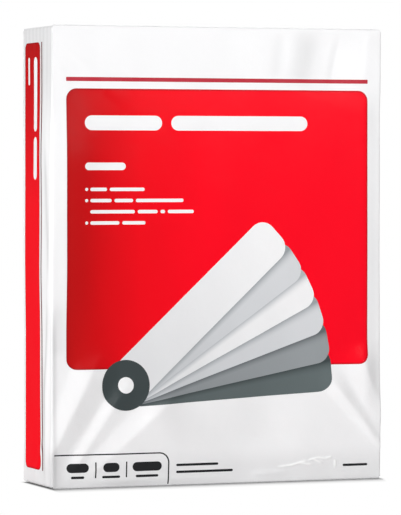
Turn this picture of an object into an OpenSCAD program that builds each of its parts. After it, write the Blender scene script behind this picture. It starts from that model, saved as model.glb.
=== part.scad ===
// Ream of paper: a sealed, wrapped pack of office sheets that stands on one short end.
// The printed front faces -Y, the printed narrow side faces -X and +Z is up.
// The origin is under the middle of the pack, on the surface that it stands on.
// Sizes are in millimetres.

/* [Paper inside] */
// Width of a sheet, from the pack's left to its right
sheet_w = 215.9; // [148:0.1:297]
// Height of a sheet, from the pack's base to its top
sheet_h = 279.4; // [210:0.1:420]
// Number of sheets in the pack
sheet_count = 500; // [250:10:700]
// Thickness of one sheet
sheet_t = 0.11; // [0.08:0.001:0.14]

/* [Wrapper] */
// Thickness of the laminated wrapping paper
wrap_t = 0.12; // [0.05:0.01:0.3]
// Air between the sheets and the wrapper on the four long sides
wrap_slack = 0.58; // [0.1:0.01:1.5]
// Radius of the four upright edges
edge_r = 1.3; // [0.6:0.1:4]

/* [End folds] */
// Depth of the flaps that are folded over each end, front and back
flap_l = 41; // [30:0.5:50]
// How far each folded layer stands off the layer under it
fold_loft = 0.3; // [0.15:0.01:0.8]
// Radius of the fold along the foot of the front and back flaps
flap_edge_r = 0.8; // [0.4:0.05:2]
// Radius of the fold along the foot of the side tucks
tuck_edge_r = 1.1; // [0.4:0.05:2]

/* [Back seam] */
// How far the wrapper laps over itself behind
lap_w = 25; // [10:1:50]
// Distance of the seam's free edge from the middle, towards the right
lap_offset = 22; // [-60:1:40]
// Height of the free edge above the back
lap_loft = 0.3; // [0.15:0.01:0.8]
// Width of the slope where the lapped layer settles onto the back
lap_fade = 6; // [2:0.5:15]

/* [Creases] */
// Width of a crease in the wrapper
crease_w = 6; // [3:0.5:10]
// Height of a crease above the wrapper
crease_h = 0.4; // [0.2:0.05:0.8]
// Length of the longest creases, by the base
crease_l = 40; // [24:1:44]
// Length of the short creases, by the top
crease_short_l = 21; // [14:1:24]
// Length of the crease down the narrow side
crease_side_l = 90; // [40:5:150]

/* [Printed front] */
// Thickness of the print
ink_t = 0.1; // [0.05:0.01:0.3]
// Margin between the pack's upright edges and the print
print_margin = 9.4; // [6:0.2:16]
// Distance from the top of the pack down to the rule
rule_drop = 31.6; // [26:0.2:50]
// Height of the rule
rule_h = 2.5; // [1:0.1:5]
// Gap between the rule and the panel
rule_gap = 4.4; // [2:0.2:10]
// Height of the panel's lower edge above the base
panel_foot = 72.3; // [62:0.5:84]
// Radius of the panel's corners
panel_r = 6.5; // [2:0.5:12]

/* [Lines on the panel] */
// Indent of the lines from the panel's left edge
line_indent = 11.7; // [8:0.1:20]
// Distance from the top of the panel to the middle of the headline
headline_drop = 20.8; // [12:0.2:26]
// Height of the headline's bars
headline_h = 9; // [4:0.5:12]
// Distance from the headline's middle to the middle of the second line
second_drop = 26.4; // [16:0.2:36]
// Height of the second line's bar
second_h = 4.6; // [3:0.2:8]
// Distance from the second line's middle to the first point of the list
list_drop = 14; // [10:0.2:20]
// Distance between the points of the list
list_pitch = 6.8; // [4:0.1:9]
// Height of the bars in the list
list_h = 2.1; // [1:0.1:3]

/* [Fan of strips] */
// Number of strips in the fan
strip_count = 6; // [3:1:6]
// Distance of the lowest strip's far end from the panel's right edge
strip_margin = 24.5; // [16:0.5:60]
// Width of a strip
strip_w = 27; // [18:0.5:30]
// Radius of the corners at a strip's far end
strip_r = 9; // [8:0.5:13]
// Turn from one strip to the next, in degrees
strip_step = 8; // [5:0.5:9]
// Distance of the hub's middle from the panel's left edge
hub_x = 38; // [34:0.5:50]
// Distance of the hub's middle below the panel's lower edge
hub_drop = 10; // [6:0.5:12]
// How far the round hub reaches past the strips' edges
hub_rim = 2; // [1:0.1:4]
// Radius of the hole in the hub
hub_hole_r = 5; // [3:0.2:8]

/* [Printed side] */
// Width of the panel on the narrow side
side_panel_w = 29.8; // [20:0.2:32]
// Distance from the pack's rear edge to that panel
side_panel_rear = 4.9; // [3:0.1:8]
// Distance of that panel from the base and the top
side_panel_end = 10; // [6:0.5:30]
// Radius of that panel's corners
side_panel_r = 4.5; // [1:0.5:8]
// Gap between that panel and the thin rule beside it
side_rule_gap = 2.6; // [1:0.1:5]
// Width of the thin rule
side_rule_w = 1.8; // [0.5:0.1:2.4]

/* [Label] */
// Width of the label at the foot of the front
label_w = 75.2; // [72:0.2:90]
// Height of the label
label_h = 21; // [20:0.2:24]
// Radius of the label's free corner
label_r = 6.6; // [2:0.2:10]
// Width of the label's border and dividing lines
label_line = 0.8; // [0.3:0.05:1]

/* [Hidden] */

// Overall size of the wrapped pack
pack_w = sheet_w + 2 * (wrap_t + wrap_slack);
pack_t = sheet_count * sheet_t + 2 * (wrap_t + wrap_slack);
folded_layers = 3;
pack_h = sheet_h + 2 * (wrap_t + folded_layers * fold_loft);

// Faces of the pack
left_x = -pack_w / 2;
front_y = -pack_t / 2;
rear_y = pack_t / 2;
// How far a cutting shape runs past the face that it cuts
past = 1;
// Depth to which a crease is sunk into the face that it stands on
crease_sink = 0.4;
// Fineness of small round corners, and of the crown and the long arc of a crease
small_fn = 48;
round_fn = 180;
arc_fn = 1440;

// Places on the front, measured from its lower left corner
panel_w = pack_w - 2 * print_margin;
rule_top = pack_h - rule_drop;
panel_top = rule_top - rule_h - rule_gap;
panel_h = panel_top - panel_foot;
line_x = print_margin + line_indent;
headline_z = panel_top - headline_drop;
second_z = headline_z - second_drop;
list_z = second_z - list_drop;
hub_place = [print_margin + hub_x, panel_foot - hub_drop];
hub_r = strip_w / 2 + hub_rim;
strip_reach = panel_w - hub_x - strip_margin;

// Lengths of the bars that stand for words, and the gap after each
headline_bars = [50, 90];
headline_gap = 6;
second_bars = [26.5];
list_bars = [[11, 22.5], [14, 12, 31], [29, 13, 3, 17], [19, 15]];
// Whether a row of the list starts with a dot or carries on from the row above
list_dots = [true, true, false, true];
list_gap = 1.8;
list_dot_r = 1;
list_bar_x = 3.4;

// Tone of each strip, from the lowest to the highest
SLATE = 0;
GREY = 1;
PALE = 2;
WHITE = 3;
strip_tones = [SLATE, GREY, PALE, WHITE, PALE, WHITE];
lowest_turn = 3;

// Cells of the label: where each starts, and the lengths of its large and small bars
label_cells = [[9.3, 13.9, 8.4], [32.2, 10.5, 11.5], [51.2, 19.1, 14.8]];
label_large_h = 5.6;
label_large_z = 12.6;
label_small_h = 1.5;
label_small_z = 6.8;
label_dividers = [27.6, 47.3];
label_divider_foot = 6.3;
label_divider_h = 9.6;
// Lines of small print beside the label: place, height above the base and length
small_lines = [[79.8, 12.8, 27.9], [79.8, 8.5, 37.7]];
corner_line_l = 16.8;
corner_line_z = 9.4;
small_line_h = 1.5;

// Bars on the narrow side run upwards. For each: distance of its middle from the side panel's
// front edge, of its top from the top of the pack, its length and its width.
side_bars = [[8.9, 18.9, 45.5, 6.4], [8.9, 67.8, 26, 6.4], [21.9, 18.9, 17, 2.8]];

// Creases at the lower left start above the label: distance from the left edge, angle to the
// base and share of the longest crease's length
lower_left_creases = [[5, 64, 1], [11, 46, 0.75], [29, 24, 0.7]];
// Creases at the lower right start at the right edge: height, angle and share
lower_right_creases = [[20, 137, 1], [33, 135, 1], [46, 106, 0.5]];
// Creases at the top start above the rule: distance from the right edge and angle
top_creases = [[60, 63], [45, 66]];
// The crease down the narrow side: height as a share of the pack's, angle, and how much
// slimmer and lower it is than those on the front
side_crease_place = 0.61;
side_crease_angle = -4;
side_crease_slim = 0.75;

// A rectangle with round corners, from the origin
module rounded_rect(size, r) {
    translate([r, 0]) square([size.x - 2 * r, size.y]);
    translate([0, r]) square([size.x, size.y - 2 * r]);
    for (x = [r, size.x - r], y = [r, size.y - r])
        translate([x, y]) circle(r, $fn = small_fn);
}

// A bar with round ends, from the origin along +X, with its middle on the X axis
module bar(length, height) {
    translate([height / 2, -height / 2]) square([length - height, height]);
    for (x = [height / 2, length - height / 2])
        translate([x, 0]) circle(height / 2, $fn = small_fn);
}

// Total of the first n entries of a list, with a gap after each
function run_up(list, gap, n) = n == 0 ? 0 : list[n - 1] + gap + run_up(list, gap, n - 1);

// A row of bars that stands for a line of words
module bar_row(lengths, height, gap) {
    for (i = [0:len(lengths) - 1])
        translate([run_up(lengths, gap, i), 0]) bar(lengths[i], height);
}

// Stands a flat shape on the front face, with its origin at the face's lower left corner
module on_front(thickness) {
    translate([left_x, front_y, 0]) rotate([90, 0, 0]) linear_extrude(thickness) children();
}

// Stands a flat shape on the narrow side: its X runs from the rear edge to the front, its Y up
module on_side(thickness) {
    translate([left_x, rear_y, 0]) rotate([90, 0, -90]) linear_extrude(thickness) children();
}

// The pack at one height, with rounded edges: three rounded outlines crossed with each other
module wrapped_block(height) {
    intersection() {
        translate([left_x, front_y, -height / 2])
            linear_extrude(height) rounded_rect([pack_w, pack_t], edge_r);
        translate([left_x - past, front_y, -height / 2])
            rotate([90, 0, 90]) linear_extrude(pack_w + 2 * past)
                rounded_rect([pack_t, height], flap_edge_r);
        translate([left_x, rear_y + past, -height / 2])
            rotate([90, 0, 0]) linear_extrude(pack_t + 2 * past)
                rounded_rect([pack_w, height], tuck_edge_r);
    }
}

// Outline of a flap, seen from the end: its foot lies on the front edge and its sides run in
// at 45 degrees, because the narrow side was tucked in before it
module flap_outline() {
    foot = pack_w / 2 + past;
    tip = pack_w / 2 - flap_l;
    polygon([[-foot, front_y - past], [foot, front_y - past],
             [tip, front_y + flap_l], [-tip, front_y + flap_l]]);
}

// A pair of flaps, one on each end, that stands off the layers under it
module flaps(height) {
    intersection() {
        wrapped_block(height);
        linear_extrude(height + 2 * past, center = true) children();
    }
}

// The overlap of the wrapper's edges down the back: a low step with a slope behind it
module back_seam() {
    edge_x = lap_offset;
    linear_extrude(pack_h - 2 * (folded_layers * fold_loft + flap_edge_r), center = true)
        polygon([[edge_x, rear_y - past], [edge_x, rear_y + lap_loft],
                 [edge_x - lap_w, rear_y + lap_loft], [edge_x - lap_w - lap_fade, rear_y],
                 [edge_x - lap_w - lap_fade, rear_y - past]]);
}

// A crease along X that stands proud of the XY plane: the crown of a slim barrel.
// The crown's radius follows from its width, and the arc along it from its length.
module crease(length, width, height) {
    crown_r = (width * width / 4 + height * height) / (2 * height);
    arc_r = (length * length / 4 + height * height) / (2 * height);
    sunk_l = length * 1.2;
    intersection() {
        translate([0, 0, height - crown_r]) rotate([0, 90, 0])
            rotate_extrude($fn = round_fn) intersection() {
                translate([crown_r - arc_r, 0]) circle(arc_r, $fn = arc_fn);
                translate([0, -sunk_l / 2]) square([crown_r, sunk_l]);
            }
        translate([-sunk_l / 2, -width, -crease_sink])
            cube([sunk_l, 2 * width, crease_sink + 2 * height]);
    }
}

// A crease on the front that starts at a place and runs at an angle to the base
module front_crease(place, angle, length) {
    translate([left_x + place.x, front_y, place.y]) rotate([90, -angle, 0])
        translate([length / 2, 0, 0]) crease(length, crease_w, crease_h);
}

// Creases where the wrapper is drawn in towards the end folds
module creases() {
    clear = crease_w / 2 + past;
    for (c = lower_left_creases)
        front_crease([c[0], label_h + clear], c[1], c[2] * crease_l);
    for (c = lower_right_creases)
        front_crease([pack_w - edge_r - clear, c[0]], c[1], c[2] * crease_l);
    for (c = top_creases)
        front_crease([pack_w - c[0], rule_top + clear], c[1], crease_short_l);
    translate([left_x, front_y + edge_r + clear, pack_h * side_crease_place])
        rotate([0, -90, 0]) rotate([0, 0, side_crease_angle])
            crease(crease_side_l, crease_w * side_crease_slim, crease_h * side_crease_slim);
}

// The sheets in their wrapper, which can't be seen into, as one solid
module sealed_pack() {
    color("#f4f4f3") {
        translate([0, 0, pack_h / 2]) {
            wrapped_block(pack_h - 4 * fold_loft);
            flaps(pack_h - 2 * fold_loft) mirror([0, 1]) flap_outline();
            flaps(pack_h) flap_outline();
            back_seam();
        }
        creases();
    }
}

// One strip of the fan, turned about the hub
module strip(i) {
    translate(hub_place) rotate(lowest_turn + i * strip_step)
        translate([0, -strip_w / 2]) rounded_rect([strip_reach, strip_w], strip_r);
}

// The round hub, which covers the strips' near ends
module hub() {
    translate(hub_place) circle(hub_r, $fn = round_fn);
}

// What shows of a strip: the strips above it and the hub cover the rest
module strip_shown(i) {
    difference() {
        strip(i);
        if (i < strip_count - 1) for (j = [i + 1:strip_count - 1]) strip(j);
        hub();
    }
}

// All strips of one tone
module strips(tone) {
    for (i = [0:strip_count - 1]) if (strip_tones[i] == tone) strip_shown(i);
}

// The lines on the panel, as bars and dots
module panel_lines() {
    translate([line_x, headline_z]) bar_row(headline_bars, headline_h, headline_gap);
    translate([line_x, second_z]) bar_row(second_bars, second_h, headline_gap);
    for (row = [0:len(list_bars) - 1]) translate([line_x, list_z - row * list_pitch]) {
        if (list_dots[row]) translate([list_dot_r, 0]) circle(list_dot_r, $fn = small_fn);
        translate([list_bar_x, 0]) bar_row(list_bars[row], list_h, list_gap);
    }
}

// The large panel on the front, open where the white wrapper shows through and under the fan
module front_panel_print() {
    color("#f41a28") on_front(ink_t) difference() {
        translate([print_margin, panel_foot]) rounded_rect([panel_w, panel_h], panel_r);
        panel_lines();
        for (i = [0:strip_count - 1]) strip(i);
        hub();
    }
}

// The rule above the panel
module front_rule_print() {
    color("#bc303c") on_front(ink_t)
        translate([print_margin, rule_top - rule_h]) square([panel_w, rule_h]);
}

// The fan's dark strips and its hub
module fan_slate_print() {
    color("#5c6666") on_front(ink_t) {
        strips(SLATE);
        difference() {
            hub();
            translate(hub_place) circle(hub_hole_r, $fn = small_fn);
        }
    }
}

// The fan's middle grey strips
module fan_grey_print() {
    color("#8f9497") on_front(ink_t) strips(GREY);
}

// The fan's pale grey strips
module fan_pale_print() {
    color("#d6d8db") on_front(ink_t) strips(PALE);
}

// Border of the label: it runs off the pack's left edge and base, with one round corner
module label_border() {
    inner = [label_w - label_line, label_h - label_line];
    intersection() {
        difference() {
            translate([-label_w, -label_h]) rounded_rect([2 * label_w, 2 * label_h], label_r);
            translate([-inner.x, -inner.y]) rounded_rect(2 * inner, label_r - label_line);
        }
        translate([edge_r, tuck_edge_r]) square([label_w, label_h]);
    }
}

// The label and the small lines beside it
module label_print() {
    color("#2b2c2e") on_front(ink_t) {
        label_border();
        for (x = label_dividers)
            translate([x - label_line / 2, label_divider_foot]) square([label_line, label_divider_h]);
        for (cell = label_cells) {
            translate([cell[0], label_large_z]) bar(cell[1], label_large_h);
            translate([cell[0] + (cell[1] - cell[2]) / 2, label_small_z]) bar(cell[2], label_small_h);
        }
        for (line = small_lines) translate([line[0], line[1]]) bar(line[2], small_line_h);
        translate([print_margin + panel_w - corner_line_l, corner_line_z])
            bar(corner_line_l, small_line_h);
    }
}

// The panel on the narrow side, open where its bars show the white wrapper
module side_panel_print() {
    panel_front = side_panel_rear + side_panel_w;
    color("#e81c28") on_side(ink_t) difference() {
        translate([side_panel_rear, side_panel_end])
            rounded_rect([side_panel_w, pack_h - 2 * side_panel_end], side_panel_r);
        for (b = side_bars)
            translate([panel_front - b[0], pack_h - b[1] - b[2]]) rotate(90) bar(b[2], b[3]);
    }
}

// The thin rule beside the side panel
module side_rule_print() {
    rule_y = side_panel_rear + side_panel_w + side_rule_gap;
    color("#82282f") on_side(ink_t)
        translate([rule_y, side_panel_end]) square([side_rule_w, pack_h - 2 * side_panel_end]);
}

sealed_pack();
front_panel_print();
front_rule_print();
fan_slate_print();
fan_grey_print();
fan_pale_print();
label_print();
side_panel_print();
side_rule_print();
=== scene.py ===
# %% [markdown]
# # A ream of paper in its wrapper
#
# This is a lesson in making one plain thing look real: a pack of five hundred office sheets,
# wrapped in white laminated paper with a printed front. The pack is a box, so nothing but its
# wrapper gives it away: soft edges, folds over the ends, a seam down the back, and wrinkles that
# fan out from the corners, where the paper was drawn in.
#
# The true sizes come from the fixed frame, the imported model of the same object. Every surface
# here is worked out in millimetres on a grid and turned to metres once, when it becomes a mesh.

# %% Load the frame
import math

import bpy
import numpy as np
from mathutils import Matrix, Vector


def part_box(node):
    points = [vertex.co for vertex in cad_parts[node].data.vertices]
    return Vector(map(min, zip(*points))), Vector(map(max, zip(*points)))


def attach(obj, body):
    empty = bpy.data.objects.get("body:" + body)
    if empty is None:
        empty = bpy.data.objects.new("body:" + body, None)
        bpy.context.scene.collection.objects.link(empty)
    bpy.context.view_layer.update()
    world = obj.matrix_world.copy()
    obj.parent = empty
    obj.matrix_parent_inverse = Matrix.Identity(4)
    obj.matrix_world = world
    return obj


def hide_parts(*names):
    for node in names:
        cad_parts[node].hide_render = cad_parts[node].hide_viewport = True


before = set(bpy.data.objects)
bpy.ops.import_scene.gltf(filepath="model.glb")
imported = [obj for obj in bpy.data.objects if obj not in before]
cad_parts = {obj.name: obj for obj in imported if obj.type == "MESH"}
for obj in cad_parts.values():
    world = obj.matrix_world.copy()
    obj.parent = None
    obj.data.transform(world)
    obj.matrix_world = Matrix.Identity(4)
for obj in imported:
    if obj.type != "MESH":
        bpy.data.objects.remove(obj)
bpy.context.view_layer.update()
print("solids in the frame:", sorted(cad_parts))

# %% [markdown]
# ## Sizes from the frame
#
# The print lies flat on the wrapper, so the rear of the printed front is the wrapper's front
# face, and the inner side of the printed side is its left face. The pack stands in the middle of
# its frame, so the two hidden faces mirror these two.

# %% Faces of the pack, in millimetres
MM = 0.001


def box_mm(node):
    """Lowest and highest corner of a solid, in millimetres."""
    low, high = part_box(node)
    return np.array(low) / MM, np.array(high) / MM


panel_low, panel_high = box_mm("front_panel_print")
side_low, side_high = box_mm("side_panel_print")
FRONT = panel_high[1]
LEFT = side_high[0]
REAR, RIGHT = -FRONT, -LEFT
TOP = box_mm("sealed_pack")[1][2]
WIDTH, DEPTH = RIGHT - LEFT, REAR - FRONT
GIRTH = 2 * (WIDTH + DEPTH)
print(f"pack {WIDTH:.1f} x {DEPTH:.1f} x {TOP:.1f} mm")

# %% [markdown]
# ## The camera
#
# The picture looks at the pack from the front and a little from the left, with the lens at about
# two thirds of the pack's height. The edges run together only a little, so the camera stands
# well back and the lens is long. The picture is upright, so the lens length belongs to its
# height.

# %% Camera
PICTURE_HEIGHT_PX = 515
FOCAL_PX = 3496.0
SENSOR = 36.0
CAMERA_PLACE = (-771.8, -2035.3, 193.3)
CAMERA_AIM = (-12.4, FRONT, 139.8)


def add_object(name, data):
    """A new object in the scene."""
    thing = bpy.data.objects.new(name, data)
    bpy.context.scene.collection.objects.link(thing)
    return thing


def look_from(thing, place, aim):
    """Puts a camera or a lamp at a place, with its -Z axis towards the aim, in millimetres."""
    place, aim = np.array(place, float), np.array(aim, float)
    back = (place - aim) / np.linalg.norm(place - aim)
    right = np.cross([0, 0, 1], back)
    right /= np.linalg.norm(right)
    turn = np.eye(4)
    turn[:3, :3] = np.array([right, np.cross(back, right), back]).T
    turn[:3, 3] = place * MM
    thing.matrix_world = turn.T


camera = add_object("camera", bpy.data.cameras.new("camera"))
camera.data.sensor_width = SENSOR
camera.data.lens = FOCAL_PX * SENSOR / PICTURE_HEIGHT_PX
look_from(camera, CAMERA_PLACE, CAMERA_AIM)
bpy.context.scene.camera = camera
print(f"lens {camera.data.lens:.0f} mm")

# %% [markdown]
# ## From a grid to a mesh
#
# A surface is a grid of points, rows by columns. One function turns such a grid into faces: each
# face joins four neighbours, in the order that makes it face outwards. A grid that goes all the
# way round is closed in its columns.
#
# Paper and ink have two sides and a thin edge. So a sheet is made of two grids, the outer one and
# the inner one, and a rim of faces joins their borders. Smooth shading hides the facets, and an
# edge sharper than forty degrees, such as a cut edge, stays sharp.

# %% Grids to meshes
SHARP = math.radians(40)


def grid_faces(rows, columns, closed=False):
    """Corner numbers of the quads of a grid. Closed grids join their last column to the first."""
    index = np.arange(rows * columns).reshape(rows, columns)
    ahead = np.roll(index, -1, axis=1)
    span = columns if closed else columns - 1
    quads = [index[:-1, :span], ahead[:-1, :span], ahead[1:, :span], index[1:, :span]]
    return np.stack(quads, axis=-1).reshape(-1, 4)


def sheet_faces(rows, columns, closed=False):
    """Quads of a thin sheet: an outer grid, an inner grid after it, and the rim between them."""
    index = np.arange(rows * columns).reshape(rows, columns)
    outer = grid_faces(rows, columns, closed)
    if closed:
        loops = [index[0], index[-1, ::-1]]
    else:
        loops = [np.concatenate([index[0, :-1], index[:-1, -1], index[-1, :0:-1], index[:0:-1, 0]])]
    rims = []
    for loop in loops:
        after = np.roll(loop, -1)
        rims.append(np.stack([after, loop, loop + index.size, after + index.size], axis=-1))
    return np.concatenate([outer, outer[:, ::-1] + index.size, *rims])


def add_mesh(name, points, faces, extra_faces=()):
    """A mesh object from points in millimetres, quads as an array and a few larger faces."""
    mesh = bpy.data.meshes.new(name)
    mesh.from_pydata(points.reshape(-1, 3) * MM, [], faces.tolist() + list(extra_faces))
    mesh.polygons.foreach_set("use_smooth", np.ones(len(mesh.polygons), bool))
    mesh.set_sharp_from_angle(angle=SHARP)
    return add_object(name, mesh)


def inner_side(points, thickness):
    """The grid that lies a thickness inside another: each point moves against the normal, which
    is the cross product of the steps along its row and its column."""
    normal = np.cross(np.gradient(points, axis=1), np.gradient(points, axis=0))
    return points - thickness * normal / np.linalg.norm(normal, axis=-1, keepdims=True)


def add_number(piece, name, values):
    """A number for every point of a mesh, which a material can read."""
    piece.data.attributes.new(name, "FLOAT", "POINT").data.foreach_set("value", values.astype(np.float32))


def smoothstep(start, end, value):
    """0 before start, 1 past end and a soft S between them. It falls where start is above end."""
    t = np.clip((value - start) / (end - start), 0, 1)
    return t * t * (3 - 2 * t)


def plateau(a, b, c, d, value):
    """0 up to a, 1 from b to c and 0 again from d on, with soft slopes."""
    return smoothstep(a, b, value) * smoothstep(d, c, value)


print("helpers for grids are ready")

# %% [markdown]
# ## The wrapper as one unrolled sheet
#
# Wrinkles don't stop at a box's edge: the paper carries them round. So the relief of the wrapper
# is worked out on the unrolled sheet. One coordinate, s, runs round the pack from its front left
# edge: along the front, the right side, the rear and the left side. The other, z, is the height.
# The relief is how far the paper stands off its flat place, in millimetres.
#
# Where the ends were folded, the paper was drawn in towards the corners, and wrinkles run out
# from each. Three forms make them all. A straight ridge is a bell across a line. A fold has a
# crest and straight flanks, and grows as it leaves the corner. A fan is several ridges about one
# pole, each a bell across the fan's angle, so that it widens with the radius. A negative height
# makes a hollow.

# %% Ridges, folds and fans
CREST_R = 0.7
SOFT_FOOT = 0.02
FAN_REACH = (12, 34, 55, 90)
RIDGE_REACH = (-0.15, 0.25, 0.75, 1.15)
FOLD_REACH = (-0.1, 0.2, 0.72, 1.12)


def around(s, place):
    """Distance along the girth from a place to s, the short way round."""
    return (s - place + GIRTH / 2) % GIRTH - GIRTH / 2


def bump(x, wide_up, wide_down):
    """A bell of height 1 with its own width on each side."""
    return np.exp(-((x / np.where(x > 0, wide_up, wide_down)) ** 2))


def tent(x, wide_up, wide_down):
    """A crest of height 1 with straight flanks, as a fold in stiff paper has. The crest and the
    feet are rounded: the first by a hyperbola, the second by a soft floor at zero."""
    left = 1 - (np.sqrt(x**2 + CREST_R**2) - CREST_R) / np.where(x > 0, wide_up, wide_down)
    return (left + np.sqrt(left**2 + SOFT_FOOT)) / 2


def fan_of_ridges(s, z, pole, ridges):
    """Ridges at given angles about a pole on the sheet. Each is (angle, width towards larger
    angles, width towards smaller ones, height), in degrees and millimetres. They start, are full,
    begin to fade and end at the radii of FAN_REACH."""
    across, up = around(s, pole[0]), z - pole[1]
    radius = np.hypot(across, up)
    angle = np.degrees(np.arctan2(up, across))
    height = sum(h * bump((angle - a + 180) % 360 - 180, wide, steep) for a, wide, steep, h in ridges)
    return height * plateau(*FAN_REACH, radius)


def from_line(s, z, start, end):
    """How far along a line a place is, as a share of the line's length, and how far to its left."""
    along = np.array([end[0] - start[0], end[1] - start[1]], float)
    length = np.hypot(*along)
    along /= length
    ds, dz = around(s, start[0]), z - start[1]
    return (ds * along[0] + dz * along[1]) / length, dz * along[0] - ds * along[1]


def straight_ridge(s, z, start, end, wide_left, wide_right, height):
    """A soft ridge along a line that fades at both ends."""
    t, side = from_line(s, z, start, end)
    return height * bump(side, wide_left, wide_right) * plateau(*RIDGE_REACH, t)


def fold(s, z, start, end, wide_left, wide_right, height, spread):
    """A fold with straight flanks along a line. It grows on its way: its size at the end is more
    than at the start by the share spread, at the same slopes."""
    t, side = from_line(s, z, start, end)
    size = 1 + spread * (np.clip(t, 0, 1) - 0.5)
    return height * size * tent(side / size, wide_left, wide_right) * plateau(*FOLD_REACH, t)


print("ridges are ready")

# %% [markdown]
# ## Where this pack's wrinkles are
#
# The wrinkles on the front and the printed side were placed from the picture: folds from
# both lower corners, soft hollows near the top right, a low swell along the left margin, a small
# crumple at the bottom, and soft folds down the narrow side. The faces that the picture doesn't
# show get a few of the same kind, and a lap seam runs down the rear. Under all of it lies a slow
# waviness, the slack of the paper.
#
# Each wrinkle is a row of numbers: where its line starts and ends on the sheet, its width to
# the left and to the right of the line, and its height. A fold has its growth as a last number,
# and a fan is its pole and its ridges.

# %% Wrinkles of the front
LEFT_FOLDS = [
    ((-3, 14.5), (30, 79), 10.0, 12.0, 2.2, 0.9),
    ((10.2, 5.5), (52.2, 67), 6.4, 16.0, 1.6, 0.5),
    ((22.5, 5.5), (80.5, 55), 11.0, 52.0, 3.0, 0.6),
]
RIGHT_FOLDS = [
    ((223, 32), (201, 82), 14.0, 12.0, 2.4, 0.5),
    ((222, 15.5), (180.5, 66), 4.6, 5.5, 1.9, 1.2),
]
FRONT_RIDGES = [
    # Near the top right
    ((168.5, 244), (178.5, 277), 12.0, 24.0, -1.4),
    ((183.5, 246), (190.5, 278), 3.5, 14.0, -0.55),
    ((149, 250), (151, 278), 5.0, 5.0, -0.4),
    ((205, 246), (209, 280), 3.0, 4.0, 0.25),
    # Along the left margin, in the middle of the lower part, and at its foot
    ((13, 108), (13, 225), 34.0, 12.0, 1.6),
    ((138, 20), (142, 62), 24.0, 26.0, -1.5),
    ((131, 6), (153, 6.2), 1.8, 2.4, 0.5),
]
CRUMPLE = [((148, 9.6), (158, 10.6)), ((156.5, 10.5), (166.5, 12.8)), ((168, 13.2), (175, 14.7)),
           ((174.5, 14.6), (179, 13.9)), ((179, 13.9), (183.5, 14.9)), ((186, 12.8), (186.3, 8.4)),
           ((171, 13.6), (177, 11.2)), ((162, 11.6), (170, 10.4))]


def all_of(shape, rows, s, z):
    """The sum of one kind of shape over the rows of a list."""
    return sum(shape(s, z, *row) for row in rows)


def crumple(s, z, *size):
    """The small crumple by the lower edge of the front: short sharp creases end to end."""
    return all_of(straight_ridge, [(*ends, *size) for ends in CRUMPLE], s, z)


def creasing(s, z):
    """A painted highlight along the crumple's creases, from 0 to 1, in place of their glints."""
    return np.clip(crumple(s, z, 0.5, 0.5, 1.0), 0, 1)


print("wrinkles of the front:", len(LEFT_FOLDS + RIGHT_FOLDS + FRONT_RIDGES), "and a crumple")

# %% Wrinkles of the other faces
SIDE_RIDGES = [
    ((9, 232), (6, 150), 3.0, 4.5, 0.4),
    ((1.5, 148), (10.5, 52), 3.0, 2.6, 0.8),
    ((10, 72), (11.5, 2), 4.0, 2.6, 0.8),
    ((0.4, 112), (0.4, -12), 2.6, 1.5, 0.5),
    ((16, 30), (34, 4), 2.0, 3.0, 0.35),
    ((13, 252), (11, 284), 1.6, 2.2, 0.3),
    ((31, 262), (29, 284), 2.0, 2.0, 0.2),
]
REAR_S, REAR_END_S = WIDTH + DEPTH, 2 * WIDTH + DEPTH
HIDDEN_FANS = [
    ((-6, TOP), [(-42, 5, 3, 0.25), (-66, 4, 6, 0.22)]),
    ((REAR_S - 5, 0), [(40, 5, 4, 0.5), (62, 4, 7, 0.6)]),
    ((REAR_END_S + 7, 0), [(122, 4, 4, 0.6), (146, 6, 3, 0.5)]),
    ((REAR_S - 6, TOP), [(-38, 6, 3, 0.5), (-60, 4, 5, 0.45)]),
    ((REAR_END_S + 5, TOP), [(-128, 4, 4, 0.5), (-150, 5, 3, 0.4)]),
]
HIDDEN_RIDGE = ((WIDTH + 20, 60), (WIDTH + 34, 190), 3, 4, 0.35)


def side_ridge(s, z, start, end, *size):
    """A straight ridge on the printed narrow side. Its places are (distance behind the front
    edge, height)."""
    return straight_ridge(s, z, (GIRTH - start[0], start[1]), (GIRTH - end[0], end[1]), *size)


print("ridges of the narrow side:", len(SIDE_RIDGES), "and fans behind:", len(HIDDEN_FANS))

# %% Seam, slack and rounded edges
END_FADE = 5.0
SINK = 1.2
SEAM_EDGE, SEAM_LAP, SEAM_SLOPE, SEAM_LIFT = 22.0, 25.0, 6.0, 0.3


def past_seam(s):
    """Distance along the rear past the free edge of the wrapper's lap."""
    return s - (REAR_S + RIGHT - SEAM_EDGE)


def seam(s):
    """The lap of the wrapper's edges down the rear: a step at the free edge, flat over the lap,
    then a slope. s runs from right to left there, so the free edge comes first."""
    past = past_seam(s)
    on_rear = (past > 0) & (past < SEAM_LAP + SEAM_SLOPE)
    return np.where(on_rear, SEAM_LIFT * smoothstep(SEAM_LAP + SEAM_SLOPE, SEAM_LAP, past), 0)


def slack(s, z):
    """Slow waves of the loose paper. Each fits a whole number of times round the pack."""
    turn = 2 * math.pi * s / GIRTH
    waves = 0.10 * np.sin(7 * turn + z / 31) + 0.08 * np.sin(11 * turn - z / 23 + 1.3)
    return waves + 0.05 * np.sin(19 * turn + z / 13 + 2.1)


def roll_off(s):
    """How the paper rolls off softly towards the upright edges, most at the front left one."""
    edges = [(0, 0.3, 8.0), (WIDTH, 0.15, 5.0), (REAR_S, 0.15, 5.0), (REAR_END_S, 0.15, 5.0)]
    return -sum(depth * bump(around(s, place), reach, reach) for place, depth, reach in edges)


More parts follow.
